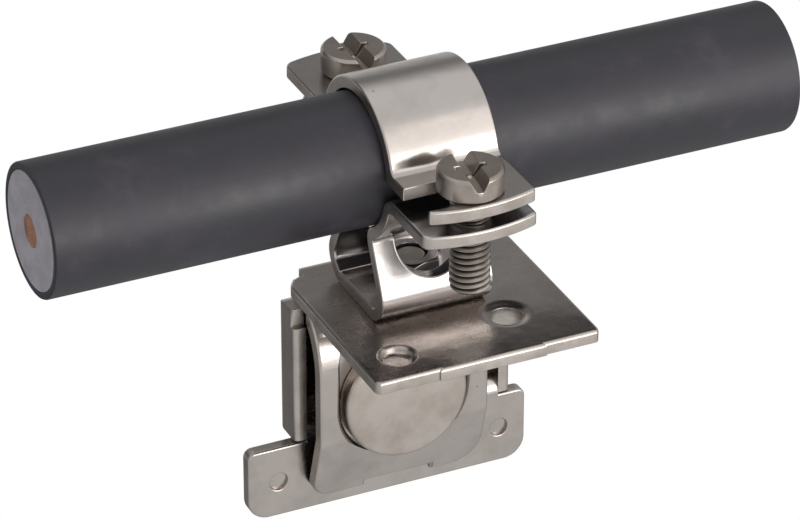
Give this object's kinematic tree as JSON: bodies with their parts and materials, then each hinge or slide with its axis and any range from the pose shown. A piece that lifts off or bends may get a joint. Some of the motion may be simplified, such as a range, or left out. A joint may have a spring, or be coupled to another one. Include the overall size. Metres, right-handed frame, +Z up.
{
  "type": "roof conductor holder",
  "caption": "Folded sheet-metal holder that clamps on a standing seam and carries a round sheathed conductor in a strap cradle under a screwed clip.",
  "frame": {"origin": "front face of the foot, at the middle of its height and in the plane of the jaw's bolt, where the seam is gripped", "axes": "+X along the conductor, +Y from the jaw towards the back wall, +Z up"},
  "size_m": [0.118, 0.054, 0.0755],
  "materials": {
    "steel_sheet": "satin",
    "steel_fastener": "satin",
    "sheath": "matte",
    "insulation": "matte",
    "copper": "satin"
  },
  "bodies": {
    "bracket": {"bracket": "steel_sheet", "strap_stud": "steel_fastener", "jaw_washer": "steel_fastener"},
    "cradle": {"cradle_strap": "steel_sheet", "conductor_sheath": "sheath", "conductor_insulation": "insulation", "conductor_core": "copper"},
    "strap_nut": {"strap_nut": "steel_fastener"},
    "clip": {"top_clip": "steel_sheet"},
    "clip_screw_front": {"clip_screw_front": "steel_fastener"},
    "clip_screw_rear": {"clip_screw_rear": "steel_fastener"},
    "jaw": {"front_jaw": "steel_sheet", "jaw_bolt": "steel_fastener"},
    "jaw_nut": {"jaw_nut": "steel_fastener"}
  },
  "joints": [
    {"name": "strap_swivel", "type": "hinge", "parent": "bracket", "child": "cradle", "pos_m": [0, -0.0073, 0.0332], "axis": [0, 0, 1], "continuous": true},
    {"name": "strap_nut_turn", "type": "hinge", "parent": "bracket", "child": "strap_nut", "pos_m": [0, -0.0073, 0.0352], "axis": [0, 0, 1], "continuous": true},
    {"name": "clip_lift", "type": "slide", "parent": "cradle", "child": "clip", "axis": [0, 0, 1], "range_m": [0, 0.0095]},
    {"name": "front_screw_turn", "type": "hinge", "parent": "clip", "child": "clip_screw_front", "pos_m": [0, -0.0273, 0.0572], "axis": [0, 0, 1], "continuous": true},
    {"name": "rear_screw_turn", "type": "hinge", "parent": "clip", "child": "clip_screw_rear", "pos_m": [0, 0.0127, 0.0572], "axis": [0, 0, 1], "continuous": true},
    {"name": "jaw_open", "type": "slide", "parent": "bracket", "child": "jaw", "axis": [0, -1, 0], "range_m": [0, 0.008]},
    {"name": "jaw_nut_turn", "type": "hinge", "parent": "bracket", "child": "jaw_nut", "pos_m": [0, 0.0087, 0.0135], "axis": [0, 1, 0], "continuous": true}
  ]
}
